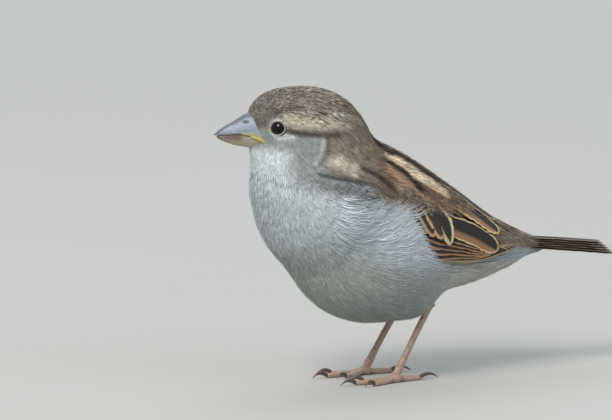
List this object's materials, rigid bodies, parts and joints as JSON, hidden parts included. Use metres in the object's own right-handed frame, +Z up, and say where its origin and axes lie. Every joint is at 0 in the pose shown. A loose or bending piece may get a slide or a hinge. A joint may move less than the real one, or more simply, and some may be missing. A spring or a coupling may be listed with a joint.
{
  "type": "house sparrow",
  "caption": "Life-size standing house sparrow with fluffed body, head turned to one side, short stout cone bill, folded wings and closed tail.",
  "frame": {"origin": "on the floor under the middle of the bird's bounding box", "axes": "+Z up, -X the way the body faces, -Y the bird's left side"},
  "size_m": [0.1205, 0.039, 0.0831],
  "materials": {
    "plumage": "soft overlapping body feathers, matt",
    "flight_feather": "stiff vanes of wing and tail, faint silky sheen",
    "bill_upper": "smooth horn, satin",
    "bill_lower": "smooth horn, satin",
    "eye": "wet, glossy, near black",
    "leg_skin": "scaled skin, satin",
    "claw": "dark horn, satin"
  },
  "bodies": {
    "root": {"head": "plumage", "neck": "plumage", "trunk": "plumage", "tail": "flight_feather", "bill_upper": "bill_upper", "bill_lower": "bill_lower", "eye_left": "eye", "wing_left": "flight_feather", "thigh_left": "plumage", "shank_left": "leg_skin", "foot_left": "leg_skin", "claw_hind_left": "claw", "claw_inner_left": "claw", "claw_middle_left": "claw", "claw_outer_left": "claw", "eye_right": "eye", "wing_right": "flight_feather", "thigh_right": "plumage", "shank_right": "leg_skin", "foot_right": "leg_skin", "claw_hind_right": "claw", "claw_inner_right": "claw", "claw_middle_right": "claw", "claw_outer_right": "claw"}
  },
  "joints": []
}
